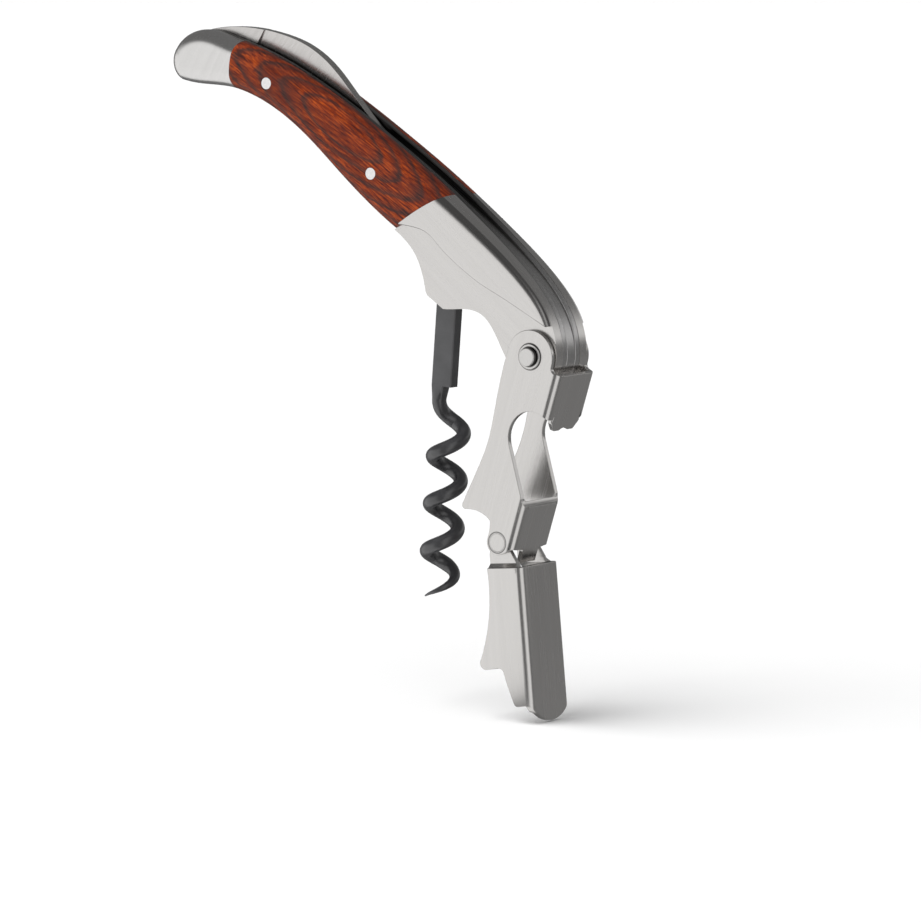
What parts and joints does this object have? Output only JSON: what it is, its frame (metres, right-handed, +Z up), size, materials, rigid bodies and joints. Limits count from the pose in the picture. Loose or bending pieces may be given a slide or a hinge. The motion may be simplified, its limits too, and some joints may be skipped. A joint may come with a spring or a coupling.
{
  "type": "waiters corkscrew",
  "caption": "Folding waiter's corkscrew with wooden scales, coated worm, two-step boot lever, cap opener and foil knife.",
  "frame": {"origin": "middle of the first lip notch on the upper lever, the point that stands on a bottle's rim", "axes": "+Z up with the tool standing in use, +X towards the lever's web, away from the handle's end cap, +Y across the tool"},
  "size_m": [0.0917, 0.0142, 0.127],
  "materials": {
    "satin_steel": "satin brushed",
    "bright_steel": "polished",
    "blade_steel": "fine cross-ground",
    "rosewood": "satin oiled, dark streaked",
    "black_coat": "semi-gloss low-friction coating"
  },
  "bodies": {
    "handle": {"left_liner": "satin_steel", "left_front_bolster": "satin_steel", "left_end_bolster": "satin_steel", "left_scale": "rosewood", "right_liner": "satin_steel", "right_front_bolster": "satin_steel", "right_end_bolster": "satin_steel", "right_scale": "rosewood", "back_spring": "satin_steel", "lever_pivot_pin": "bright_steel", "worm_pivot_pin": "bright_steel", "knife_pivot_pin": "bright_steel", "front_scale_pin": "bright_steel", "rear_scale_pin": "bright_steel", "front_bolster_rivets": "bright_steel", "end_bolster_rivet": "bright_steel"},
    "upper_lever": {"upper_lever": "satin_steel", "left_pivot_eyelet": "bright_steel", "right_pivot_eyelet": "bright_steel", "left_foot_rivet": "bright_steel", "right_foot_rivet": "bright_steel"},
    "foot": {"foot_lever": "satin_steel"},
    "worm": {"worm": "black_coat"},
    "knife": {"knife_blade": "blade_steel"}
  },
  "joints": [
    {"name": "lever_pivot", "type": "hinge", "parent": "handle", "child": "upper_lever", "pos_m": [0.01232, 0, 0.02909], "axis": [0, 1, 0], "range_deg": [-28, 103]},
    {"name": "foot_pivot", "type": "hinge", "parent": "upper_lever", "child": "foot", "pos_m": [0.00504, 0, -0.00563], "axis": [0, 1, 0], "range_deg": [-3, 20]},
    {"name": "worm_pivot", "type": "hinge", "parent": "handle", "child": "worm", "pos_m": [-0.00965, 0, 0.04282], "axis": [0, 1, 0], "range_deg": [-32, 116]},
    {"name": "knife_pivot", "type": "hinge", "parent": "handle", "child": "knife", "pos_m": [-0.06623, 0, 0.08266], "axis": [0, -1, 0], "range_deg": [0, 150]}
  ],
  "couplings": [
    {"joint": "worm_pivot", "follows": "lever_pivot", "ratio": 1.1214}
  ]
}
